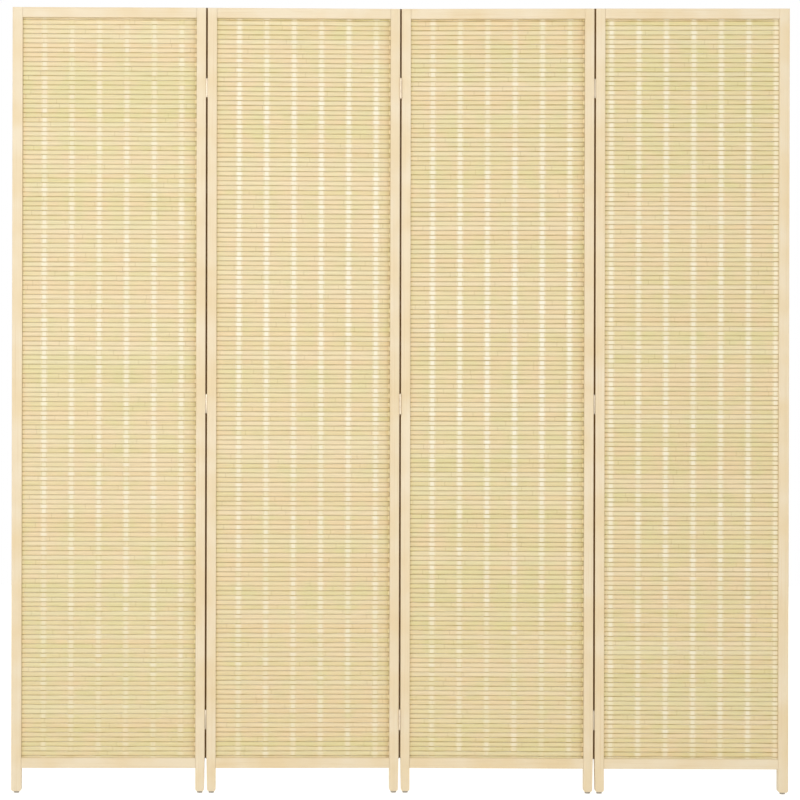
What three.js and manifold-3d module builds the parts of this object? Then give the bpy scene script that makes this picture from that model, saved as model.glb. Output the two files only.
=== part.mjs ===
// A free-standing folding screen: four wood-framed panels of woven flat slats, joined by butt hinges.
// Millimetres. +X runs along the screen, -Y is the front, +Z is up and the glides stand on z = 0.
import * as THREE from "three";
import { mergeVertices } from "three/addons/utils/BufferGeometryUtils.js";
import Module from "manifold-3d";

const wasm = await Module();
wasm.setup();

// Whole screen
const overallHeight = 1800; // floor to the top of the rails
const panelWidth = 444.5; // one panel, edge to edge
const foldGap = 0.35; // between two stiles when the screen stands flat
const seatGap = 0.3; // between pieces that seat on each other
const overcut = 1; // how far a cut runs past the face that it opens

// How the panels stand at rest: the angle that each fold is closed from flat, in degrees
const fold12Rest = 0.5;
const fold23Rest = 2.2;
const fold34Rest = 0.5;
const panel2Turn = 1.1; // panel 2 against the length of the screen

// Frame
const frameDepth = 20; // front to back
const stileWidth = 23;
const railHeight = 23;
const legHeight = 57.5; // floor to the bottom rail
const legStep = 1.9; // cut off the fold side of a leg, from the bottom rail down
const legTaper = 3.3; // cut off the fold side of a leg at its foot
const footRadius = 5; // round corners under a leg
const edgeEase = 0.6; // chamfer on the long edges
const foldEase = 1.5; // chamfer on the edges that meet at a fold
const tenonShoulder = 4;

// Groove round the inside of the frame, which holds the mat
const grooveDepth = 7;

// Woven mat
const slatPitch = [10.68, 10.8, 10.71, 10.61]; // from one slat to the next, panel by panel
const slatThickness = 1.5;
const slatOffset = 0.9; // every second slat lies this much further back
const warpPitch = 62.9;
const warpWidth = 13;
const warpThickness = 1;
const edgeStick = 5; // visible width of the stick at each side of the mat
const headStick = 4; // height of the stick at the top and bottom, hidden in the rails
const firstWarp = [49.6, 51.4, 51, 15.6]; // from the left stile to the first warp strip, panel by panel

// Hinges
const hingeHeight = 46;
const hingeFromTop = 183; // top of the screen to the middle of the top hinge
const hingeFromBottom = 168.5; // floor to the middle of the bottom hinge
const leafThickness = 1;
const leafInset = 0.7; // from the end of a leaf to the far face of the stile
const knuckleRadius = 2.5;
const knuckleCount = 3;
const knuckleClearance = 0.2; // between a knuckle and the face of the stile
const knuckleGap = 0.3;
const pinRadius = 1;
const pinClearance = 0.25;
const pinHeadRadius = 1.7;
const pinHeadHeight = 0.8;
const knuckleSides = 10;

// Glides
const glideRadius = 6.3;
const glideHeight = 4;
const glideEase = 0.7;
const glideSides = 14;

// Sizes that follow
const matThickness = slatThickness + slatOffset + seatGap + warpThickness;
const grooveWidth = matThickness + 2 * seatGap;
const openingWidth = panelWidth - 2 * stileWidth;
const matWidth = openingWidth + 2 * (grooveDepth - seatGap);
const matBottom = legHeight + railHeight - grooveDepth + seatGap;
const matTop = overallHeight - railHeight + grooveDepth - seatGap;
const stileBottom = glideHeight + seatGap;
const pivotOffset = knuckleRadius + knuckleClearance; // hinge axis to the face of the frame
const leafTop = knuckleRadius + seatGap; // hinge axis to the edge of the flat leaf
const leafDepth = frameDepth + pivotOffset - leafTop - leafInset;
const mortiseDepth = leafThickness + seatGap;
const hingeLevels = {
  top: overallHeight - hingeFromTop,
  middle: (overallHeight - hingeFromTop + hingeFromBottom) / 2,
  bottom: hingeFromBottom,
};

const wood = { color: 0xe9cfa0, roughness: 0.6, metalness: 0 };
const slatWood = { color: 0xe6d59a, roughness: 0.5, metalness: 0 };
const warpWood = { color: 0xf4e8c4, roughness: 0.5, metalness: 0 };
const steel = { color: 0xc9c4bd, roughness: 0.3, metalness: 1 };
const glidePlastic = { color: 0x55524d, roughness: 0.5, metalness: 0 };

// Turns a closed geometry into a solid that can be cut and joined
function toSolid(geometry) {
  const bare = geometry.clone();
  bare.deleteAttribute("normal");
  bare.deleteAttribute("uv");
  const merged = mergeVertices(bare, 1e-4);
  return new wasm.Manifold(new wasm.Mesh({
    numProp: 3,
    vertProperties: new Float32Array(merged.attributes.position.array),
    triVerts: new Uint32Array(merged.index.array),
  }));
}

function toGeometry(solid) {
  const mesh = solid.getMesh();
  const indexed = new THREE.BufferGeometry();
  indexed.setAttribute("position", new THREE.BufferAttribute(new Float32Array(mesh.vertProperties), 3));
  indexed.setIndex(new THREE.BufferAttribute(new Uint32Array(mesh.triVerts), 1));
  const geometry = indexed.toNonIndexed();
  geometry.computeVertexNormals();
  return geometry;
}

// A box between two corners
function block(x0, x1, y0, y1, z0, z1) {
  const geometry = new THREE.BoxGeometry(x1 - x0, y1 - y0, z1 - z0);
  geometry.translate((x0 + x1) / 2, (y0 + y1) / 2, (z0 + z1) / 2);
  return geometry;
}

// An outline drawn in X and Z, given a depth that is centred on y = middle
function extrudeFront(shape, depth, middle, ease) {
  const geometry = new THREE.ExtrudeGeometry(shape, {
    depth: depth - 2 * ease,
    steps: 1,
    curveSegments: 4,
    bevelEnabled: ease > 0,
    bevelThickness: ease,
    bevelSize: ease,
    bevelOffset: -ease,
    bevelSegments: 1,
  });
  geometry.rotateX(Math.PI / 2);
  geometry.translate(0, middle + depth / 2 - ease, 0);
  return geometry;
}

// An outline drawn in Y and Z, run along X about x = 0
function extrudeAlong(shape, length) {
  const geometry = new THREE.ExtrudeGeometry(shape, { depth: length, steps: 1, bevelEnabled: false });
  geometry.rotateX(Math.PI / 2);
  geometry.rotateZ(Math.PI / 2);
  geometry.translate(-length / 2, 0, 0);
  return geometry;
}

function polygon(points) {
  return new THREE.Shape(points.map(([a, b]) => new THREE.Vector2(a, b)));
}

// A bar that takes the corner off a fold edge, in front (side -1) or behind (side 1)
function foldCorner(side) {
  const face = frameDepth / 2;
  const section = polygon([
    [-stileWidth - overcut, side * (face - foldEase - overcut)],
    [-stileWidth + foldEase + overcut, side * (face + overcut)],
    [-stileWidth - overcut, side * (face + overcut)],
  ]);
  const bar = new THREE.ExtrudeGeometry(section, { depth: overallHeight, steps: 1, bevelEnabled: false });
  bar.translate(0, 0, legHeight);
  return bar;
}

// A left stile with its inner face on x = 0: a post with the mat groove, which runs on as a leg. At a fold
// it also has eased corners, a narrower leg and the hinge mortises
function makeStile(atFold) {
  const legTop = legHeight + railHeight;
  const footEdge = atFold ? legTaper - stileWidth : -stileWidth;
  const footTop = stileBottom + footRadius;
  const shape = new THREE.Shape();
  shape.moveTo(0, overallHeight);
  shape.lineTo(-stileWidth, overallHeight);
  if (atFold) {
    shape.lineTo(-stileWidth, legTop);
    shape.lineTo(legStep - stileWidth, legTop - legStep);
  }
  shape.lineTo(footEdge, footTop);
  shape.absarc(footEdge + footRadius, footTop, footRadius, Math.PI, 1.5 * Math.PI);
  shape.absarc(-footRadius, footTop, footRadius, 1.5 * Math.PI, 2 * Math.PI);
  let solid = toSolid(extrudeFront(shape, frameDepth, 0, edgeEase));
  solid = solid.subtract(toSolid(block(-grooveDepth, overcut, -grooveWidth / 2, grooveWidth / 2,
    legHeight + tenonShoulder, overallHeight - tenonShoulder)));
  if (!atFold) return solid;
  solid = solid.subtract(toSolid(foldCorner(-1))).subtract(toSolid(foldCorner(1)));
  const face = frameDepth / 2 + overcut;
  const mortiseHalf = hingeHeight / 2 + seatGap;
  for (const level of Object.values(hingeLevels)) {
    solid = solid.subtract(toSolid(block(-stileWidth - overcut, -stileWidth + mortiseDepth, -face, face,
      level - mortiseHalf, level + mortiseHalf)));
  }
  return solid;
}

// A rail with its grooved edge up and its plain edge on z = 0
function makeRail() {
  const half = frameDepth / 2;
  const profile = polygon([
    [-half + edgeEase, 0], [half - edgeEase, 0], [half, edgeEase],
    [half, railHeight - edgeEase], [half - edgeEase, railHeight], [grooveWidth / 2, railHeight],
    [grooveWidth / 2, railHeight - grooveDepth], [-grooveWidth / 2, railHeight - grooveDepth],
    [-grooveWidth / 2, railHeight], [-half + edgeEase, railHeight],
    [-half, railHeight - edgeEase], [-half, edgeEase],
  ]);
  const body = toSolid(extrudeAlong(profile, openingWidth - 2 * seatGap));
  const reach = openingWidth / 2 + grooveDepth - seatGap;
  const tenonHalf = grooveWidth / 2 - seatGap;
  const tenons = toSolid(block(-reach, reach, -tenonHalf, tenonHalf,
    tenonShoulder + seatGap, railHeight - grooveDepth));
  return body.add(tenons);
}

// The slats: one stepped section, every second slat further back, run across the panel
function makeSlats(wantedPitch) {
  const rows = Math.round((matTop - matBottom) / wantedPitch);
  const pitch = (matTop - matBottom) / rows;
  const front = -matThickness / 2;
  const face = [];
  const back = [];
  for (let row = 0; row < rows; row += 1) {
    const y = front + (row % 2) * slatOffset;
    const z0 = matBottom + row * pitch;
    face.push([y, z0], [y, z0 + pitch]);
    back.push([y + slatThickness, z0], [y + slatThickness, z0 + pitch]);
  }
  return extrudeAlong(polygon([...back, ...face.reverse()]), matWidth);
}

// The warp strips behind the slats, with the sticks that frame the mat: a sheet with windows between strips
function makeWarpStrips(firstFromStile) {
  const side = matWidth / 2;
  const stick = edgeStick + grooveDepth - seatGap;
  const back = matThickness / 2;
  let solid = toSolid(block(-side, side, back - warpThickness, back, matBottom, matTop));
  const strips = [];
  for (let x = firstFromStile - openingWidth / 2; x < openingWidth / 2; x += warpPitch) {
    strips.push([x - warpWidth / 2, x + warpWidth / 2]);
  }
  let from = stick - side;
  for (const [start, end] of [...strips, [side - stick, side]]) {
    if (start > from) {
      solid = solid.subtract(toSolid(block(from, start, back - 2 * warpThickness, back + warpThickness,
        matBottom + headStick, matTop - headStick)));
    }
    from = Math.max(from, end);
  }
  return toGeometry(solid);
}

// A round glide, standing on its flat underside
function makeGlide() {
  const points = [
    [0, 0], [glideRadius - glideEase, 0], [glideRadius, glideEase],
    [glideRadius, glideHeight], [0, glideHeight],
  ].map(([r, z]) => new THREE.Vector2(r, z));
  const geometry = new THREE.LatheGeometry(points, glideSides);
  geometry.rotateX(Math.PI / 2);
  return geometry;
}

function cylinder(radius, z0, z1) {
  const geometry = new THREE.CylinderGeometry(radius, radius, z1 - z0, knuckleSides);
  geometry.rotateX(Math.PI / 2);
  geometry.translate(0, 0, (z0 + z1) / 2);
  return geometry;
}

// A hinge leaf about its axis: the flat leaf runs towards -Y on the -X side, with its knuckles on the axis
function makeLeaf(firstKnuckle) {
  const inner = -foldGap / 2;
  const outer = inner - leafThickness;
  const half = hingeHeight / 2;
  let solid = toSolid(block(outer, inner, -leafTop - leafDepth, -leafTop, -half, half));
  const share = hingeHeight / knuckleCount;
  const bore = pinRadius + pinClearance;
  for (let knuckle = firstKnuckle; knuckle < knuckleCount; knuckle += 2) {
    const z0 = knuckle * share - half + (knuckle > 0 ? knuckleGap / 2 : 0);
    const z1 = (knuckle + 1) * share - half - (knuckle < knuckleCount - 1 ? knuckleGap / 2 : 0);
    const neck = toSolid(block(outer, inner, -leafTop - seatGap, -(bore + knuckleRadius) / 2, z0, z1));
    solid = solid.add(neck).add(toSolid(cylinder(knuckleRadius, z0, z1)));
  }
  return solid.subtract(toSolid(cylinder(bore, -hingeHeight, hingeHeight)));
}

// A pin with a small head at each end
function makePin() {
  const end = hingeHeight / 2 + seatGap;
  const tip = end + pinHeadHeight;
  const points = [
    [0, -tip], [pinHeadRadius, -tip], [pinHeadRadius, -end], [pinRadius, -end],
    [pinRadius, end], [pinHeadRadius, end], [pinHeadRadius, tip], [0, tip],
  ].map(([r, z]) => new THREE.Vector2(r, z));
  const geometry = new THREE.LatheGeometry(points, knuckleSides);
  geometry.rotateX(Math.PI / 2);
  return geometry;
}

function addPiece(parent, name, geometry, finish) {
  const mesh = new THREE.Mesh(geometry, new THREE.MeshStandardMaterial(finish));
  mesh.name = name;
  parent.add(mesh);
  return mesh;
}

// Mirrored in X, for the right-hand pieces
function mirrored(solid) {
  return solid.mirror([1, 0, 0]);
}

// One panel about the middle of its width. The knuckle sides are -1 in front, 1 behind and 0 for no hinge
function makePanel(number, leftKnuckle, rightKnuckle) {
  const panel = new THREE.Group();
  const name = `panel_${number}`;
  const inner = openingWidth / 2;
  const leftStile = toGeometry(makeStile(leftKnuckle !== 0));
  const rightStile = toGeometry(mirrored(makeStile(rightKnuckle !== 0)));
  addPiece(panel, `${name}_stile_left`, leftStile, wood).position.x = -inner;
  addPiece(panel, `${name}_stile_right`, rightStile, wood).position.x = inner;
  addPiece(panel, `${name}_rail_bottom`, toGeometry(makeRail()), wood).position.z = legHeight;
  const topRail = addPiece(panel, `${name}_rail_top`, toGeometry(makeRail()), wood);
  topRail.rotation.y = Math.PI;
  topRail.position.z = overallHeight;
  addPiece(panel, `${name}_slats`, makeSlats(slatPitch[number - 1]), slatWood);
  addPiece(panel, `${name}_warp_strips`, makeWarpStrips(firstWarp[number - 1]), warpWood);
  const outerFoot = inner + stileWidth / 2;
  const foldFoot = inner + (stileWidth - legTaper) / 2;
  const leftGlide = addPiece(panel, `${name}_glide_left`, makeGlide(), glidePlastic);
  const rightGlide = addPiece(panel, `${name}_glide_right`, makeGlide(), glidePlastic);
  leftGlide.position.x = leftKnuckle === 0 ? -outerFoot : -foldFoot;
  rightGlide.position.x = rightKnuckle === 0 ? outerFoot : foldFoot;
  return panel;
}

// The hinges of one fold: each leaf sits in its own panel, and the pin stays with the left one
function addHinges(leftPanel, rightPanel, foldName, knuckleSide) {
  const reach = (panelWidth + foldGap) / 2;
  const y = knuckleSide * (frameDepth / 2 + pivotOffset);
  const [near, far] = knuckleSide > 0 ? [leftPanel, rightPanel] : [rightPanel, leftPanel];
  const [nearName, farName] = knuckleSide > 0 ? ["leaf_left", "leaf_right"] : ["leaf_right", "leaf_left"];
  for (const [levelName, level] of Object.entries(hingeLevels)) {
    const name = `hinge_${foldName}_${levelName}`;
    const turn = knuckleSide > 0 ? 0 : Math.PI;
    const nearLeaf = addPiece(near, `${name}_${nearName}`, toGeometry(makeLeaf(0)), steel);
    const farLeaf = addPiece(far, `${name}_${farName}`, toGeometry(mirrored(makeLeaf(1))), steel);
    const pin = addPiece(leftPanel, `${name}_pin`, makePin(), steel);
    nearLeaf.position.set(knuckleSide * reach, y, level);
    farLeaf.position.set(-knuckleSide * reach, y, level);
    pin.position.set(reach, y, level);
    nearLeaf.rotation.z = turn;
    farLeaf.rotation.z = turn;
  }
}

// Stands a panel against its left neighbour, turned about the fold between them
function standNextTo(leftPanel, rightPanel, knuckleSide, foldDegrees) {
  const reach = (panelWidth + foldGap) / 2;
  const y = knuckleSide * (frameDepth / 2 + pivotOffset);
  leftPanel.updateMatrixWorld(true);
  const pivot = new THREE.Vector3(reach, y, 0).applyMatrix4(leftPanel.matrixWorld);
  rightPanel.rotation.z = leftPanel.rotation.z + knuckleSide * THREE.MathUtils.degToRad(foldDegrees);
  const arm = new THREE.Vector3(-reach, y, 0).applyEuler(rightPanel.rotation);
  rightPanel.position.copy(pivot).sub(arm);
}

const behind = 1;
const inFront = -1;
const panels = [
  makePanel(1, 0, behind),
  makePanel(2, behind, inFront),
  makePanel(3, inFront, behind),
  makePanel(4, behind, 0),
];
addHinges(panels[0], panels[1], "1_2", behind);
addHinges(panels[1], panels[2], "2_3", inFront);
addHinges(panels[2], panels[3], "3_4", behind);

panels[0].rotation.z = THREE.MathUtils.degToRad(panel2Turn - fold12Rest);
standNextTo(panels[0], panels[1], behind, fold12Rest);
standNextTo(panels[1], panels[2], inFront, fold23Rest);
standNextTo(panels[2], panels[3], behind, fold34Rest);

const screen = new THREE.Group();
screen.add(...panels);
screen.updateMatrixWorld(true);

// The origin is on the floor, under the middle of the whole screen
const middle = new THREE.Box3().setFromObject(screen, true).getCenter(new THREE.Vector3());
for (const panel of panels) {
  panel.position.x -= middle.x;
  panel.position.y -= middle.y;
}
screen.updateMatrixWorld(true);

export default screen;
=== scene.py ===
import math
import random

import bmesh
import bpy
from mathutils import Matrix, Vector


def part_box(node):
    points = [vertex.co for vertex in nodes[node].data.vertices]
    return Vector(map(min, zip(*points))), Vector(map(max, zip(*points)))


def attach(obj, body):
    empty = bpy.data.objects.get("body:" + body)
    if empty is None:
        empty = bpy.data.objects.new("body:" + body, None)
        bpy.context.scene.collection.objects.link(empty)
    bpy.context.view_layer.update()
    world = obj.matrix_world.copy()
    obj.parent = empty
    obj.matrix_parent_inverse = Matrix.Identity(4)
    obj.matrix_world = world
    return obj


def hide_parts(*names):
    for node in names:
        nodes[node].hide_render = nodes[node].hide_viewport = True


# Looks of a folding screen: four pine frames with a woven bamboo mat in each, butt hinges and round glides.
# Blender's metres, +X along the screen, -Y the front, +Z up. Lengths in the dictionaries are millimetres,
# apart from those of the studio and the camera.

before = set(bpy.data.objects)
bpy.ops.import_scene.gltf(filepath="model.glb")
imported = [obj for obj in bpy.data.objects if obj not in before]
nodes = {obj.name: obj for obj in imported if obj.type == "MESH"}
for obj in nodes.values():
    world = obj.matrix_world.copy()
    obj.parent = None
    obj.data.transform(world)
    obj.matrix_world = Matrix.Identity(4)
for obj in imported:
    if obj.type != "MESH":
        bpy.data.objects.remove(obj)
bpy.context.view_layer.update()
mm = 0.001
panelNumbers = (1, 2, 3, 4)
hingeLevels = ("top", "middle", "bottom")
print("frame loaded:", len(nodes), "CAD nodes")


def middleOf(nodeName):
    low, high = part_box(nodeName)
    return (Vector(low) + Vector(high)) / 2


# Each panel has its own axes: X across it from its middle, Y through it, and the floor at z = 0
def panelAxes(number):
    left = middleOf(f"panel_{number}_glide_left")
    along = (middleOf(f"panel_{number}_glide_right") - left).normalized()
    middle = left + along * (middleOf(f"panel_{number}_slats") - left).dot(along)
    turn = Matrix.Rotation(math.atan2(along.y, along.x), 4, "Z")
    return Matrix.Translation((middle.x, middle.y, 0)) @ turn


axesOf = {number: panelAxes(number) for number in panelNumbers}


# A node's lowest and highest corners along its panel's own axes, in millimetres
def boxOnPanel(number, nodeName):
    back = axesOf[number].inverted()
    corners = [back @ vertex.co / mm for vertex in nodes[nodeName].data.vertices]
    low = Vector([min(corner[i] for corner in corners) for i in range(3)])
    high = Vector([max(corner[i] for corner in corners) for i in range(3)])
    return low, high


def linear(hexColour):
    def channel(value):
        value /= 255
        return value / 12.92 if value <= 0.04045 else ((value + 0.055) / 1.055) ** 2.4
    digits = hexColour.lstrip("#")
    return tuple(channel(int(digits[i:i + 2], 16)) for i in (0, 2, 4)) + (1.0,)


# Adds a node with its settings. An input is named with _ for a space, or in0, in1 and so on by its number
def addNode(owner, kind, settings=None, **inputs):
    node = owner.node_tree.nodes.new(kind)
    for name, value in (settings or {}).items():
        setattr(node, name, value)
    for name, value in inputs.items():
        socket = node.inputs[int(name[2:]) if name[2:].isdigit() else name.replace("_", " ")]
        if isinstance(value, bpy.types.NodeSocket):
            owner.node_tree.links.new(value, socket)
        else:
            socket.default_value = value
    return node


def newMaterial(name):
    material = bpy.data.materials.new(name)
    material.use_nodes = True
    return material, material.node_tree.nodes["Principled BSDF"]


def link(owner, fromSocket, toSocket):
    owner.node_tree.links.new(fromSocket, toSocket)


# A colour between two: the first where the share is 0, and the second where it is 1
def mixed(owner, share, first, second, blend="MIX"):
    settings = {"data_type": "RGBA", "blend_type": blend}
    return addNode(owner, "ShaderNodeMix", settings, in0=share, in6=first, in7=second).outputs[2]


def computed(owner, operation, first, second):
    return addNode(owner, "ShaderNodeMath", {"operation": operation}, in0=first, in1=second).outputs[0]


# The piece's own coordinates, scaled so that a pattern is narrow across the grain and long along it
def alongGrain(owner, place, grainAxis, width, length):
    across = 1 / (width * mm)
    along = 1 / (length * mm)
    scale = (along, across, across) if grainAxis == "X" else (across, across, along)
    return addNode(owner, "ShaderNodeMapping", in0=place.outputs["Object"], Scale=scale).outputs[0]


def addObject(name, data):
    added = bpy.data.objects.new(name, data)
    bpy.context.scene.collection.objects.link(added)
    return added


def meshPiece(name, points, faces, matrix, smooth=True):
    mesh = bpy.data.meshes.new(name)
    mesh.from_pydata([(x * mm, y * mm, z * mm) for x, y, z in points], [], faces)
    mesh.validate()
    mesh.polygons.foreach_set("use_smooth", [smooth] * len(mesh.polygons))
    piece = addObject(name, mesh)
    piece.matrix_world = matrix
    return piece


def dress(piece, material, body, slotName, *replaced):
    piece.data.materials.append(material)
    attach(piece, body)
    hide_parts(*replaced)


# Joins rings of points into a closed bar, capped at both ends
def addBar(points, faces, rings):
    first = len(points)
    count = len(rings[0])
    for ring in rings:
        points.extend(ring)
    for station in range(len(rings) - 1):
        a = first + station * count
        b = a + count
        for i in range(count):
            j = (i + 1) % count
            faces.append((a + i, a + j, b + j, b + i))
    faces.append(tuple(range(first + count - 1, first - 1, -1)))
    last = first + (len(rings) - 1) * count
    faces.append(tuple(range(last, last + count)))


# Pine, planed and clear lacquered: a pale even yellow with faint long grain and a soft sheen
pineLook = {
    "pale": "#F4E4C6",
    "warm": "#EFD9B0",
    "grainLine": "#E2C696",
    "grainWidth": 1.6,  # between grain lines
    "grainLength": 160,  # over which a grain line changes
    "grainStrength": 0.55,  # of the darkest grain line
    "grainRelief": 0.3,  # depth of the grain, for the bump
    "patch": 110,  # over which the wood turns paler or warmer
    "roughness": 0.45,
    "sheen": 0.25,  # specular level of the thin lacquer
    "foldPaintedShade": "#5E3E00",  # painted shade: the corners that meet at a fold are coloured dark brown where the fold gap's shade falls
    "foldPaintedShadeWidth": 1.9,
    "foldFacing": 0.9,  # a face that looks at the fold more squarely than this gets no painted shade
}


# A stile beside a fold gives the way to the fold, and how far its own edge lies that way. Its corners near
# that edge get painted shade
def lacqueredPine(name, grainAxis, outward=None, edge=None):
    look = pineLook
    material, shader = newMaterial(name)
    place = addNode(material, "ShaderNodeTexCoord")
    stretched = alongGrain(material, place, grainAxis, look["grainWidth"], look["grainLength"])
    grain = addNode(material, "ShaderNodeTexNoise", Vector=stretched, Scale=0.55, Detail=5.0,
                    Roughness=0.6, Distortion=0.4)
    cloud = addNode(material, "ShaderNodeTexNoise", Vector=place.outputs["Object"],
                    Scale=1 / (look["patch"] * mm), Detail=2.0)
    warmth = addNode(material, "ShaderNodeMapRange", Value=cloud.outputs["Fac"],
                     From_Min=0.35, From_Max=0.65)
    tone = mixed(material, warmth.outputs[0], linear(look["pale"]), linear(look["warm"]))
    lines = addNode(material, "ShaderNodeMapRange", Value=grain.outputs["Fac"], From_Min=0.52, From_Max=0.8,
                    To_Max=look["grainStrength"])
    wood = mixed(material, lines.outputs[0], tone, linear(look["grainLine"]))
    if outward:
        # painted shade of the fold gap: it covers what lies near the edge, apart from the face that looks
        # straight at the fold
        reach = addNode(material, "ShaderNodeVectorMath", {"operation": "DOT_PRODUCT"},
                        in0=place.outputs["Object"], in1=outward)
        paintedShadeFrom = edge - look["foldPaintedShadeWidth"] * mm
        near = computed(material, "GREATER_THAN", reach.outputs["Value"], paintedShadeFrom)
        facing = addNode(material, "ShaderNodeVectorMath", {"operation": "DOT_PRODUCT"},
                         in0=place.outputs["Normal"], in1=outward)
        aside = computed(material, "LESS_THAN", facing.outputs["Value"], look["foldFacing"])
        paintedShadeMask = computed(material, "MULTIPLY", near, aside)
        wood = mixed(material, paintedShadeMask, wood, linear(look["foldPaintedShade"]))
    link(material, wood, shader.inputs["Base Color"])
    bump = addNode(material, "ShaderNodeBump", Height=grain.outputs["Fac"], Strength=0.12,
                   Distance=look["grainRelief"] * mm)
    link(material, bump.outputs[0], shader.inputs["Normal"])
    shader.inputs["Roughness"].default_value = look["roughness"]
    shader.inputs["Specular IOR Level"].default_value = look["sheen"]
    shader.inputs["IOR"].default_value = 1.5
    return material


pineRail = lacqueredPine("pine_rail_planed_and_lacquered", "X")
pineOuterStile = lacqueredPine("pine_outer_stile_planed_and_lacquered", "Z")
for number in panelNumbers:
    for rail in ("rail_top", "rail_bottom"):
        nodes[f"panel_{number}_{rail}"].material_slots[0].material = pineRail
    for side, way, outermost in (("left", -1, panelNumbers[0]), ("right", 1, panelNumbers[-1])):
        stile = nodes[f"panel_{number}_stile_{side}"]
        if number == outermost:
            stile.material_slots[0].material = pineOuterStile
            continue
        outward = axesOf[number].to_3x3() @ Vector((way, 0, 0))
        edge = max(vertex.co.dot(outward) for vertex in stile.data.vertices)
        name = f"pine_fold_stile_planed_and_lacquered_{number}_{side}"
        stile.material_slots[0].material = lacqueredPine(name, "Z", outward, edge)
print("frames finished")


# The woven mat: slats across, and warp strips that pass in front of one slat and behind the next
matLook = {
    "inGroove": 6.7,  # of the mat, on each side
    "slatPitch": (10.68, 10.8, 10.71, 10.61),  # panel by panel
    "firstWarp": (49.6, 51.4, 51.0, 15.6),  # from the left stile, panel by panel
    "warpPitch": 62.9,
    "slatThickness": 1.1,
    "slatSwing": 0.42,  # forwards or back as a slat crosses a warp strip
    "slatGap": 0.16,  # between a slat and the next
    "slatRounding": 1.9,  # how much of a slat's height rolls back at each edge
    "slatRollBack": 0.42,  # and how far back
    "slatWave": 0.36,  # how far a join between two slats may stray up or down
    "waveCount": 3,  # waves of different lengths that add up to that
    "waveSize": (0.35, 1.0),
    "waveRate": (0.008, 0.022),  # radians in a millimetre
    "waveStart": (0, 6.3),
    "endMargin": 1.0,  # at each end of a slat, where it needs no more points
    "slatSeed": 40,
    "hueStep": 0.35,  # by which the hue may drift from one slat to the next
    "palest": 0.4,  # how far the palest slat turns to the pale colour
    "palePower": 1.3,  # above 1, fewer slats are that pale
    "edgeShadeVaries": (0.75, 1.25),  # how the painted shade line differs from edge to edge
    "warpWidth": 13.0,
    "warpThickness": 0.5,
    "warpSwing": 0.48,
    "warpEase": 3.4,  # of each edge that thins out
    "warpEdgeBack": 0.05,  # how far the thin edge lies behind the strip's middle
    # the strip's way past a slat: the share of the slat's height, of the swing, and of the painted shade at
    # the row's edge
    "warpCourse": ((0.0, 0.0, 0.9), (0.13, 0.9, 0.0), (0.5, 1.0, 0.0), (0.87, 0.9, 0.0)),
    "warpTone": (0.5, 0.15),  # hue and paleness
    "edgeStick": 5.0,  # that shows beside each stile
    "highlightBlur": 6.0,  # over which the painted highlight at a crossing fades
    "highlightSlack": 0.1,  # a point this near to the patch still belongs to it
    "highlightLow": (0.13, 0.34, 0.27, 0.35),  # how bright the painted highlight at the crossings is at the least, panel by panel
    "highlightHigh": (0.53, 0.7, 0.75, 0.56),  # and where they are palest
    "highlightHeight": (0.54, 0.68, 0.57, 0.65),  # where that is, as a share of the mat's height
    "highlightSpread": (0.42, 0.3, 0.32, 0.6),  # and over which share of it the patches turn pale
    "highlightSeed": 70,
    "highlightRowVaries": 0.1,  # from slat to slat
    "highlightSpotVaries": 0.18,  # from crossing to crossing
}


# Bamboo, split: straw colours that differ from slat to slat, and fine fibres along it. Scraping leaves it
# with a soft sheen. A darker line is painted at its edges as shade between slats, and a paler patch as a
# highlight at each crossing
bambooLook = {
    "straw": "#E7DAA0",
    "honey": "#F1D8A9",
    "huePatch": 60,  # over which the colour drifts between the two, on top of each slat's own
    "pale": "#F7EAC8",
    # painted highlight on the bulge at each crossing
    "crossingHighlight": "#FFF8E3",
    # painted shade along the slats' edges and between rows, and the colour of the cane's rings
    "edge": "#A28534",
    "paintedEdgeShadeShare": (0.6, 0.69, 0.79, 0.76),  # how much painted shade a slat's edge takes, panel by panel
    "fibreWidth": 0.7,  # real fibres are finer and wouldn't show
    "fibreLength": 45,
    "fibreRelief": 0.2,  # depth of the fibres, for the bump
    "cloudLength": 75,  # over which the painted edge shade gets stronger or weaker
    "cloudNarrowing": 12,  # how much sooner it does so from slat to slat than along a slat
    "ringSpacing": 290,  # between the rings of the cane
    "ringWidth": 1.8,
    "ringStrength": 0.35,
    "roughness": 0.46,
    "sheen": 0.4,  # specular level
}


# Painted highlight where a warp strip and a slat cross, by row and warp: 0 for the slats' own colour, 1 for
# the palest
def crossingHighlights(number, rows, warps):
    look = matLook
    rng = random.Random(look["highlightSeed"] + number)
    low, high, middle, spread = (look[key][number - 1] for key in
                                 ("highlightLow", "highlightHigh", "highlightHeight", "highlightSpread"))
    rowVaries = look["highlightRowVaries"]
    spotVaries = look["highlightSpotVaries"]
    patches = []
    for row in range(rows):
        height = (row / rows - middle) / spread
        level = low + (high - low) * math.exp(-height * height)
        shift = rng.uniform(-rowVaries, rowVaries)
        patches.append([max(0.0, min(1.0, level + shift + rng.uniform(-spotVaries, spotVaries)))
                        for _ in range(warps)])
    return patches
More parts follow.
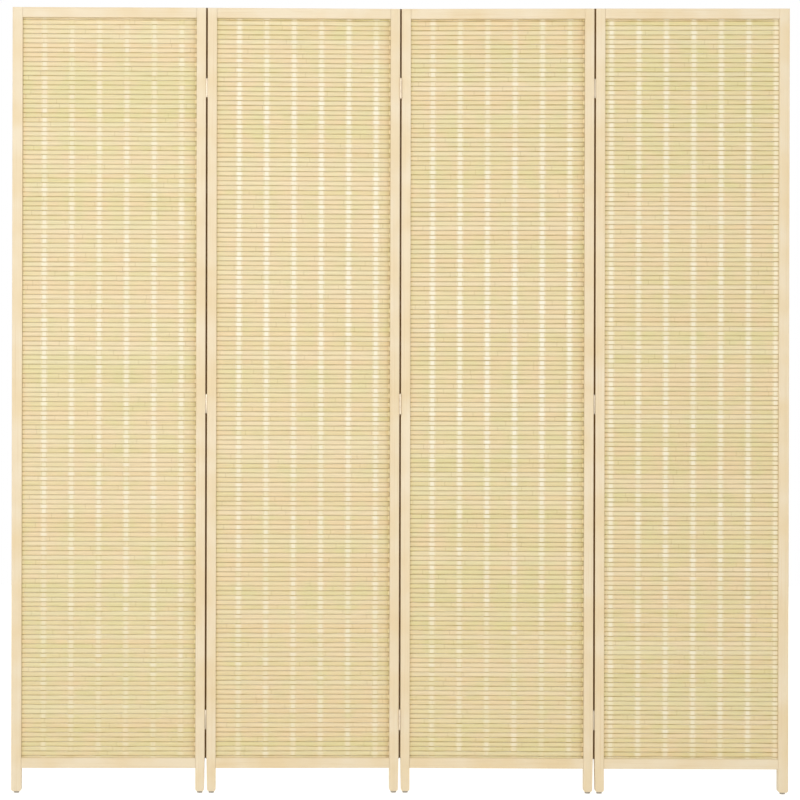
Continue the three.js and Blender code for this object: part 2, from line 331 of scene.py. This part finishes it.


# The points' bambooTone holds hue, paleness, painted crossing highlight and painted edge shade, as red, green,
# blue and alpha
def splitBamboo(name, grainAxis, ringed):
    look = bambooLook
    material, shader = newMaterial(name)
    place = addNode(material, "ShaderNodeTexCoord")
    tone = addNode(material, "ShaderNodeAttribute", {"attribute_name": "bambooTone"})
    parts = addNode(material, "ShaderNodeSeparateColor", in0=tone.outputs["Color"])
    drift = addNode(material, "ShaderNodeTexNoise", Vector=place.outputs["Object"],
                    Scale=1 / (look["huePatch"] * mm), Detail=2.0)
    shift = addNode(material, "ShaderNodeMapRange", Value=drift.outputs["Fac"],
                    From_Min=0.35, From_Max=0.65, To_Min=-0.4, To_Max=0.4)
    share = addNode(material, "ShaderNodeMath", {"operation": "ADD", "use_clamp": True},
                    in0=parts.outputs[0], in1=shift.outputs[0])
    hue = mixed(material, share.outputs[0], linear(look["straw"]), linear(look["honey"]))
    pale = mixed(material, parts.outputs[1], hue, linear(look["pale"]))
    stretched = alongGrain(material, place, grainAxis, look["fibreWidth"], look["fibreLength"])
    fibre = addNode(material, "ShaderNodeTexNoise", Vector=stretched, Scale=0.6, Detail=4.0, Roughness=0.65)
    streak = addNode(material, "ShaderNodeMapRange", Value=fibre.outputs["Fac"], From_Min=0.3, From_Max=0.7,
                     To_Min=0.9, To_Max=1.06)
    colour = mixed(material, 1.0, pale, streak.outputs[0], "MULTIPLY")
    if ringed:
        # rings of the cane: a thin darker band across the slat, at a place of its own on each slat
        start = addNode(material, "ShaderNodeAttribute", {"attribute_name": "ringStart"})
        where = addNode(material, "ShaderNodeSeparateXYZ", in0=place.outputs["Object"])
        turns = addNode(material, "ShaderNodeMath", {"operation": "MULTIPLY_ADD"}, in0=where.outputs["X"],
                        in1=1 / (look["ringSpacing"] * mm), in2=start.outputs["Fac"])
        ring = addNode(material, "ShaderNodeMath", {"operation": "FRACT"}, in0=turns.outputs[0])
        band = addNode(material, "ShaderNodeMapRange", Value=ring.outputs[0],
                       From_Min=look["ringWidth"] / look["ringSpacing"], From_Max=0.0,
                       To_Max=look["ringStrength"])
        colour = mixed(material, band.outputs[0], colour, linear(look["edge"]))
    # painted highlight at the crossings
    crossingHighlight = mixed(material, parts.outputs[2], colour, linear(look["crossingHighlight"]))
    cloudScale = 1 / (look["cloudLength"] * mm)
    spread = addNode(material, "ShaderNodeMapping", in0=place.outputs["Object"],
                     Scale=(cloudScale, cloudScale, cloudScale * look["cloudNarrowing"]))
    cloud = addNode(material, "ShaderNodeTexNoise", Vector=spread.outputs[0], Scale=1.0, Detail=2.0)
    patchy = addNode(material, "ShaderNodeMapRange", Value=cloud.outputs["Fac"], From_Min=0.3, From_Max=0.7,
                     To_Min=0.6, To_Max=1.0)
    # painted shade along the edges, stronger and weaker in clouds
    edge = computed(material, "MULTIPLY", tone.outputs["Alpha"], patchy.outputs[0])
    withEdgeShade = mixed(material, edge, crossingHighlight, linear(look["edge"]))
    link(material, withEdgeShade, shader.inputs["Base Color"])
    bump = addNode(material, "ShaderNodeBump", Height=fibre.outputs["Fac"], Strength=0.2,
                   Distance=look["fibreRelief"] * mm)
    link(material, bump.outputs[0], shader.inputs["Normal"])
    shader.inputs["Roughness"].default_value = look["roughness"]
    shader.inputs["Specular IOR Level"].default_value = look["sheen"]
    shader.inputs["IOR"].default_value = 1.5
    return material


# Slow waves that shift a join between slats up and down
def joinWave(rng):
    look = matLook
    waves = [[rng.uniform(*look[key]) for key in ("waveSize", "waveRate", "waveStart")]
             for _ in range(look["waveCount"])]

    def shift(x):
        total = sum(size * math.sin(x * rate + start) for size, rate, start in waves)
        return look["slatWave"] * total / look["waveCount"]
    return shift


# Half the width of the evenly pale part of a painted highlight at a crossing
def highlightHalf():
    return (matLook["warpWidth"] - matLook["highlightBlur"]) / 2


# The points along a slat: its ends, and round each crossing the edges of the painted highlight and the wave's
# quarters
def slatStations(half, warpXs):
    look = matLook
    flat = highlightHalf()
    faded = flat + look["highlightBlur"]
    quarter = look["warpPitch"] / 4
    offsets = (-2 * quarter, -quarter, -faded, -flat, 0, flat, faded, quarter)
    xs = [warp + offset for warp in [warpXs[0] - look["warpPitch"], *warpXs] for offset in offsets]
    margin = look["endMargin"]
    return [-half, *[x for x in xs if margin - half < x < half - margin], half]


def makeSlats(number, mat):
    look = matLook
    rng = random.Random(look["slatSeed"] + number)
    xs = slatStations(mat["half"], mat["warpXs"])
    highlightReach = highlightHalf() + look["highlightSlack"]
    waves = [joinWave(rng) for _ in range(mat["rows"] + 1)]
    depth = look["slatThickness"] / 2
    roll = look["slatRounding"]
    rollBack = look["slatRollBack"]
    darkness = bambooLook["paintedEdgeShadeShare"][number - 1]
    points, faces, tones, starts = [], [], [], []
    drift = 0.5
    for row in range(mat["rows"]):
        drift = min(1, max(0, drift + rng.uniform(-look["hueStep"], look["hueStep"])))
        hue = (drift + rng.random()) / 2
        pale = look["palest"] * rng.random() ** look["palePower"]
        shadeBelow = darkness * rng.uniform(*look["edgeShadeVaries"])
        shadeAbove = darkness * rng.uniform(*look["edgeShadeVaries"])
        start = rng.random()
        evenLow = mat["bottom"] + row * mat["pitch"] + look["slatGap"] / 2
        evenHigh = mat["bottom"] + (row + 1) * mat["pitch"] - look["slatGap"] / 2
        rings = []
        for x in xs:
            y = look["slatSwing"] * math.cos(math.pi * (x - mat["warpXs"][0]) / look["warpPitch"])
            y = y if row % 2 else -y
            back = y + depth
            front = y - depth
            low = evenLow + (waves[row](x) if row else 0)
            high = evenHigh + (waves[row + 1](x) if row < mat["rows"] - 1 else 0)
            section = [
                (back - rollBack, low, shadeBelow), (back, low + roll, 0),
                (back, high - roll, 0), (back - rollBack, high, shadeAbove),
                (front + rollBack, high, shadeAbove), (front, high - roll, 0),
                (front, low + roll, 0), (front + rollBack, low, shadeBelow),
            ]
            rings.append([(x, py, pz) for py, pz, _ in section])
            distance, warp = min((abs(x - place), i) for i, place in enumerate(mat["warpXs"]))
            crossingHighlight = mat["patches"][row][warp] if distance < highlightReach else 0.0
            for _, _, edge in section:
                tones.extend((hue, pale, 0.0 if edge else crossingHighlight, edge))
                starts.append(start)
        addBar(points, faces, rings)
    piece = meshPiece(f"panel_{number}_woven_slats", points, faces, axesOf[number])
    piece.data.attributes.new("bambooTone", "FLOAT_COLOR", "POINT").data.foreach_set("color", tones)
    piece.data.attributes.new("ringStart", "FLOAT", "POINT").data.foreach_set("value", starts)
    return piece


# The edge sticks are warp strips too, half hidden in the stiles' grooves and without the painted highlight
def makeWarps(number, mat):
    look = matLook
    stickWidth = look["edgeStick"] + look["inGroove"]
    stickMiddle = mat["half"] - stickWidth / 2
    strips = [(x, look["warpWidth"], warp) for warp, x in enumerate(mat["warpXs"])]
    strips += [(-stickMiddle, stickWidth, 1), (stickMiddle, stickWidth, len(strips))]
    depth = look["warpThickness"] / 2
    hue, pale = look["warpTone"]
    points, faces, tones = [], [], []
    for x, width, warp in strips:
        isStick = abs(x) == stickMiddle
        outer = width / 2
        inner = outer - look["warpEase"]
        rings = []
        for row in range(mat["rows"]):
            side = -1 if (row + warp) % 2 else 1
            patch = 0.0 if isStick else mat["patches"][row][warp]
            for part, swing, edge in look["warpCourse"]:
                y = side * look["warpSwing"] * swing
                z = mat["bottom"] + (row + part) * mat["pitch"]
                thin = y + look["warpEdgeBack"]
                ring = [
                    (x - outer, thin, 0), (x - inner, y - depth, 1), (x + inner, y - depth, 1),
                    (x + outer, thin, 0), (x + inner, y + depth, 1), (x - inner, y + depth, 1),
                ]
                rings.append([(px, py, z) for px, py, _ in ring])
                for _, _, share in ring:
                    tones.extend((hue, pale, patch * share, edge))
        addBar(points, faces, rings)
    piece = meshPiece(f"panel_{number}_woven_warps", points, faces, axesOf[number], smooth=False)
    piece.data.attributes.new("bambooTone", "FLOAT_COLOR", "POINT").data.foreach_set("color", tones)
    return piece


slatBamboo = splitBamboo("bamboo_slats_split_and_scraped", "X", True)
warpBamboo = splitBamboo("bamboo_warp_strips_split_and_scraped", "Z", False)
for number in panelNumbers:
    low, high = boxOnPanel(number, f"panel_{number}_slats")
    openingHalf = high.x - matLook["inGroove"]
    rows = round((high.z - low.z) / matLook["slatPitch"][number - 1])
    firstWarp = matLook["firstWarp"][number - 1] - openingHalf
    warps = math.ceil((openingHalf - firstWarp) / matLook["warpPitch"])
    warpXs = [firstWarp + i * matLook["warpPitch"] for i in range(warps)]
    mat = {
        "half": high.x,
        "bottom": low.z,
        "pitch": (high.z - low.z) / rows,
        "rows": rows,
        "warpXs": warpXs,
        "patches": crossingHighlights(number, rows, warps),
    }
    body = f"panel_{number}"
    dress(makeSlats(number, mat), slatBamboo, body, "bamboo_slat", f"panel_{number}_slats")
    dress(makeWarps(number, mat), warpBamboo, body, "bamboo_warp", f"panel_{number}_warp_strips")
    print("mat woven:", body, rows, "slats and", warps, "warp strips")


# Steel, stamped, rolled and zinc plated: a warm pale grey metal with a fine grain from rolling
zincLook = {
    "plate": "#DACBB5",
    "grain": "#C2B39D",
    "grainWidth": 0.4,
    "grainLength": 4.8,
    "glossiest": 0.28,  # roughness, at the least
    "dullest": 0.44,
}

# A butt hinge: two leaves let into the stiles, knuckles that mesh on a pin, and three sunk screws in each leaf
hingeLook = {
    "height": 46.0,
    "leafThickness": 1.0,
    "leafDepth": 19.2,
    "leafCorner": 2.5,
    "cornerSteps": 4,
    "halfGap": 0.175,  # between the leaf and the middle of the fold
    "leafStart": 2.8,  # axis to the flat leaf
    "knuckles": 3,
    "knuckleGap": 0.3,
    "knuckleRadius": 2.5,
    "knuckleEase": 0.25,
    "bore": 1.25,  # radius
    "pinRadius": 1.0,
    "pinHead": 1.7,  # radius
    "pinHeadHeight": 0.8,
    "pinRim": 0.3,  # the straight part of the head
    "pinCrown": (0.5, 0.1),  # where the dome flattens: in from the rim, and below the top
    "pinPlay": 0.3,  # between a head and the knuckle
    "turnSteps": 28,
    "screwPlaces": ((7.4, 15.0), (14.4, 0.0), (7.4, -15.0)),  # from the axis, and up
    "screwHole": 2.35,  # radius
    "screwHead": 2.15,  # radius
    "screwSunk": 0.12,
    "crossLength": 1.35,  # half of it
    "crossWidth": 0.38,  # half of it
    "crossDepth": 0.45,
    "crossFloor": 0.2,  # how far the metal reaches below the cross
    "shellGap": 0.01,  # keeps a screw's two shells apart
    "weldDistance": 0.001,  # corners nearer than this are one
    "sharpFrom": 35,  # degrees at which an edge is no longer shaded smooth
}


def zincPlatedSteel(name):
    look = zincLook
    material, shader = newMaterial(name)
    place = addNode(material, "ShaderNodeTexCoord")
    stretched = alongGrain(material, place, "Z", look["grainWidth"], look["grainLength"])
    grain = addNode(material, "ShaderNodeTexNoise", Vector=stretched, Scale=1.0, Detail=3.0)
    tone = mixed(material, grain.outputs["Fac"], linear(look["plate"]), linear(look["grain"]))
    link(material, tone, shader.inputs["Base Color"])
    gloss = addNode(material, "ShaderNodeMapRange", Value=grain.outputs["Fac"],
                    To_Min=look["glossiest"], To_Max=look["dullest"])
    link(material, gloss.outputs[0], shader.inputs["Roughness"])
    shader.inputs["Metallic"].default_value = 1.0
    return material


def circle(radius, depth, height, steps):
    angles = [2 * math.pi * step / steps for step in range(steps)]
    return [(depth + radius * math.cos(angle), height + radius * math.sin(angle)) for angle in angles]


# Adds a flat plate to a bmesh, from x = start to x = end. It fills what lies between closed outlines, whose
# points are depth and height
def addPlate(shape, outlines, start, end):
    edges = []
    for outline in outlines:
        verts = [shape.verts.new((start * mm, depth * mm, height * mm)) for depth, height in outline]
        edges += [shape.edges.new((verts[i - 1], verts[i])) for i in range(len(verts))]
    filled = bmesh.ops.triangle_fill(shape, use_beauty=True, edges=edges)
    faces = [item for item in filled["geom"] if isinstance(item, bmesh.types.BMFace)]
    raised = bmesh.ops.extrude_face_region(shape, geom=faces)["geom"]
    verts = [item for item in raised if isinstance(item, bmesh.types.BMVert)]
    bmesh.ops.translate(shape, vec=((end - start) * mm, 0, 0), verts=verts)


# Adds a ring to a bmesh: a closed outline of radius and height, turned round the hinge axis
def addTurned(shape, outline, steps):
    rings = []
    for step in range(steps):
        angle = 2 * math.pi * step / steps
        across, through = math.cos(angle) * mm, math.sin(angle) * mm
        rings.append([shape.verts.new((radius * across, radius * through, height * mm))
                      for radius, height in outline])
    for a, b in zip(rings, rings[1:] + rings[:1]):
        for i in range(len(outline)):
            shape.faces.new((a[i - 1], a[i], b[i], b[i - 1]))


# Turns a bmesh into a finished piece of a hinge
def hingePiece(name, shape, matrix, flip, body, node):
    if flip:
        bmesh.ops.scale(shape, vec=(-1, 1, 1), verts=shape.verts)
    bmesh.ops.remove_doubles(shape, verts=shape.verts, dist=hingeLook["weldDistance"] * mm)
    bare = [bent for bent in shape.edges if not bent.link_faces]
    bmesh.ops.delete(shape, geom=bare, context="EDGES")
    bmesh.ops.recalc_face_normals(shape, faces=shape.faces)
    for face in shape.faces:
        face.smooth = True
    sharp = math.radians(hingeLook["sharpFrom"])
    for bent in shape.edges:
        bent.smooth = len(bent.link_faces) == 2 and bent.calc_face_angle() < sharp
    mesh = bpy.data.meshes.new(name)
    shape.to_mesh(mesh)
    shape.free()
    piece = addObject(name, mesh)
    piece.matrix_world = matrix
    dress(piece, zinc, body, "hinge_steel", node)


# A leaf about its axis: it runs towards -Y on the -X side, with every second knuckle on the axis
def leafShape(firstKnuckle):
    look = hingeLook
    shape = bmesh.new()
    half = look["height"] / 2
    near = -look["leafStart"]
    far = near - look["leafDepth"]
    corner = look["leafCorner"]
    share = look["height"] / look["knuckles"]
    halfGap = look["knuckleGap"] / 2
    last = look["knuckles"] - 1
    spans = []
    for knuckle in range(firstKnuckle, look["knuckles"], 2):
        low = knuckle * share - half + (halfGap if knuckle else 0)
        high = (knuckle + 1) * share - half - (halfGap if knuckle < last else 0)
        spans.append((low, high))
    outline = [(near, half)]
    for quarter, middle in ((1, half - corner), (2, corner - half)):
        for turn in range(look["cornerSteps"] + 1):
            angle = math.pi / 2 * (quarter + turn / look["cornerSteps"])
            outline.append((far + corner + corner * math.cos(angle), middle + corner * math.sin(angle)))
    outline.append((near, -half))
    tab = -(look["bore"] + look["knuckleRadius"]) / 2
    for low, high in spans:
        outline += [(near, low), (tab, low), (tab, high), (near, high)]
    outline = [point for i, point in enumerate(outline) if point != outline[i - 1]]
    holes = [circle(look["screwHole"], -depth, height, look["turnSteps"])
             for depth, height in look["screwPlaces"]]
    face = -look["halfGap"]
    addPlate(shape, [outline, *holes], face - look["leafThickness"], face)
    a, b = look["crossLength"], look["crossWidth"]
    cross = [(a, b), (b, b), (b, a), (-b, a), (-b, b), (-a, b),
             (-a, -b), (-b, -b), (-b, -a), (b, -a), (b, -b), (a, -b)]
    top = face - look["screwSunk"]
    floor = top - look["crossDepth"]
    for depth, height in look["screwPlaces"]:
        head = circle(look["screwHead"], -depth, height, look["turnSteps"])
        addPlate(shape, [head, [(x - depth, z + height) for x, z in cross]], floor, top)
        addPlate(shape, [head], floor - look["crossFloor"], floor - look["shellGap"])
    ease = look["knuckleEase"]
    outer = look["knuckleRadius"]
    for low, high in spans:
        profile = [(look["bore"], low), (outer - ease, low), (outer, low + ease),
                   (outer, high - ease), (outer - ease, high), (look["bore"], high)]
        addTurned(shape, profile, look["turnSteps"])
    return shape


# A pin with a domed head at each end
def pinShape():
    look = hingeLook
    shape = bmesh.new()
    end = look["height"] / 2 + look["pinPlay"]
    tip = end + look["pinHeadHeight"]
    inward, below = look["pinCrown"]
    upper = [(look["pinRadius"], end), (look["pinHead"], end), (look["pinHead"], end + look["pinRim"]),
             (look["pinHead"] - inward, tip - below), (0.0, tip)]
    addTurned(shape, [(radius, -height) for radius, height in reversed(upper)] + upper, look["turnSteps"])
    return shape


zinc = zincPlatedSteel("steel_stamped_and_zinc_plated")
for left in panelNumbers[:-1]:
    right = left + 1
    for level in hingeLevels:
        hinge = f"hinge_{left}_{right}_{level}"
        axis = middleOf(f"{hinge}_pin")
        behind = (axesOf[left].inverted() @ axis).y > 0
        turn = Matrix.Rotation(0 if behind else math.pi, 4, "Z")
        for panel, side in ((left, "left"), (right, "right")):
            isNear = (side == "left") == behind
            matrix = Matrix.Translation(axis) @ axesOf[panel].to_3x3().to_4x4() @ turn
            shape = leafShape(0 if isNear else 1)
            hingePiece(f"{hinge}_leaf_{side}_with_screws", shape, matrix, not isNear, f"panel_{panel}",
                       f"{hinge}_leaf_{side}")
        matrix = Matrix.Translation(axis) @ axesOf[left].to_3x3().to_4x4()
        hingePiece(f"{hinge}_pin_headed", pinShape(), matrix, False, f"panel_{left}", f"{hinge}_pin")
print("hinges finished")


# Nylon, moulded: a dull warm grey with a faint mottle
glideLook = {"nylon": "#BDB7AC", "mottle": "#A8A297", "mottleSize": 1.2, "roughness": 0.55}


def mouldedNylon(name):
    look = glideLook
    material, shader = newMaterial(name)
    place = addNode(material, "ShaderNodeTexCoord")
    mottle = addNode(material, "ShaderNodeTexNoise", Vector=place.outputs["Object"],
                     Scale=1 / (look["mottleSize"] * mm), Detail=2.0)
    tone = mixed(material, mottle.outputs["Fac"], linear(look["nylon"]), linear(look["mottle"]))
    link(material, tone, shader.inputs["Base Color"])
    shader.inputs["Roughness"].default_value = look["roughness"]
    return material


nylon = mouldedNylon("nylon_moulded_grey")
for number in panelNumbers:
    for side in ("left", "right"):
        nodes[f"panel_{number}_glide_{side}"].material_slots[0].material = nylon
print("glides finished")


# A white floor, an even white surround, a wide soft lamp in front and a weaker one behind. Metres and watts
studio = {
    "floorHalf": 7.0,
    "floor": "#F4F4F2",
    "floorSpeckle": 0.99,  # how light the darkest speckle is
    "floorGlow": 0.62,
    "floorRoughness": 0.9,
    "floorSheen": 0.1,  # specular level
    "surround": 0.56,
    "lampSize": 3.6,
    "lamps": (("soft_lamp", 133.5, (-1.0, -5.5, 2.2)), ("rear_lamp", 48.0, (1.6, 5.5, 2.6))),
    "lampAim": (0, 0, 0.9),
}

# Metres
cameraView = {
    "distance": 4.8,
    "sideways": -0.241,  # a little to the left, so that no light shows through the folds
    "height": 0.8,
    "roll": 0.12,  # degrees
    "pictureWidth": 1.8377,  # across the picture, at the screen
    "pictureMiddle": 0.9017,  # height of what the middle of the picture looks at
    "sensorWidth": 36,  # millimetres
    "farthest": 50,
}


# 1 for a ray that should see the white background, and 0 for one that carries light to the screen
def seenDirectly(owner):
    path = addNode(owner, "ShaderNodeLightPath")
    seen = computed(owner, "MAXIMUM", path.outputs["Is Camera Ray"], path.outputs["Is Glossy Ray"])
    return computed(owner, "MAXIMUM", seen, path.outputs["Is Transmission Ray"])


def makeFloor():
    half = studio["floorHalf"] / mm
    floor = meshPiece("floor", [(-half, -half, 0), (half, -half, 0), (half, half, 0), (-half, half, 0)],
                      [(0, 1, 2, 3)], Matrix.Identity(4), smooth=False)
    material, shader = newMaterial("plaster_floor_painted_white")
    place = addNode(material, "ShaderNodeTexCoord")
    speckle = addNode(material, "ShaderNodeTexNoise", Vector=place.outputs["Object"], Scale=40.0)
    shade = addNode(material, "ShaderNodeMapRange", Value=speckle.outputs["Fac"],
                    To_Min=studio["floorSpeckle"])
    tint = mixed(material, 1.0, linear(studio["floor"]), shade.outputs[0], "MULTIPLY")
    link(material, tint, shader.inputs["Base Color"])
    shader.inputs["Roughness"].default_value = studio["floorRoughness"]
    shader.inputs["Specular IOR Level"].default_value = studio["floorSheen"]
    glow = computed(material, "MULTIPLY", seenDirectly(material), studio["floorGlow"])
    shader.inputs["Emission Color"].default_value = (1, 1, 1, 1)
    link(material, glow, shader.inputs["Emission Strength"])
    floor.data.materials.append(material)


def makeSurround():
    world = bpy.data.worlds.new("white_surround")
    bpy.context.scene.world = world
    world.use_nodes = True
    background = world.node_tree.nodes["Background"]
    background.inputs["Color"].default_value = (1, 1, 1, 1)
    level = addNode(world, "ShaderNodeMapRange", Value=seenDirectly(world), To_Min=studio["surround"])
    link(world, level.outputs[0], background.inputs["Strength"])


def makeLamp(name, power, place):
    lamp = bpy.data.lights.new(name, "AREA")
    lamp.shape = "SQUARE"
    lamp.size = studio["lampSize"]
    lamp.energy = power
    holder = addObject(name, lamp)
    holder.location = place
    aim = Vector(studio["lampAim"]) - holder.location
    holder.rotation_euler = aim.to_track_quat("-Z", "Y").to_euler()


def makeCamera():
    look = cameraView
    camera = bpy.data.cameras.new("camera")
    holder = addObject("camera", camera)
    holder.location = (look["sideways"], -look["distance"], look["height"])
    facing = Matrix.Rotation(math.pi / 2, 3, "X") @ Matrix.Rotation(math.radians(look["roll"]), 3, "Z")
    holder.rotation_euler = facing.to_euler()
    camera.sensor_width = look["sensorWidth"]
    camera.lens = look["sensorWidth"] * look["distance"] / look["pictureWidth"]
    camera.shift_x = -look["sideways"] / look["pictureWidth"]
    camera.shift_y = (look["pictureMiddle"] - look["height"]) / look["pictureWidth"]
    camera.clip_end = look["farthest"]
    bpy.context.scene.camera = holder


makeFloor()
makeSurround()
for name, power, place in studio["lamps"]:
    makeLamp(name, power, place)
makeCamera()
bpy.context.scene.view_settings.view_transform = "Standard"
print("studio set")
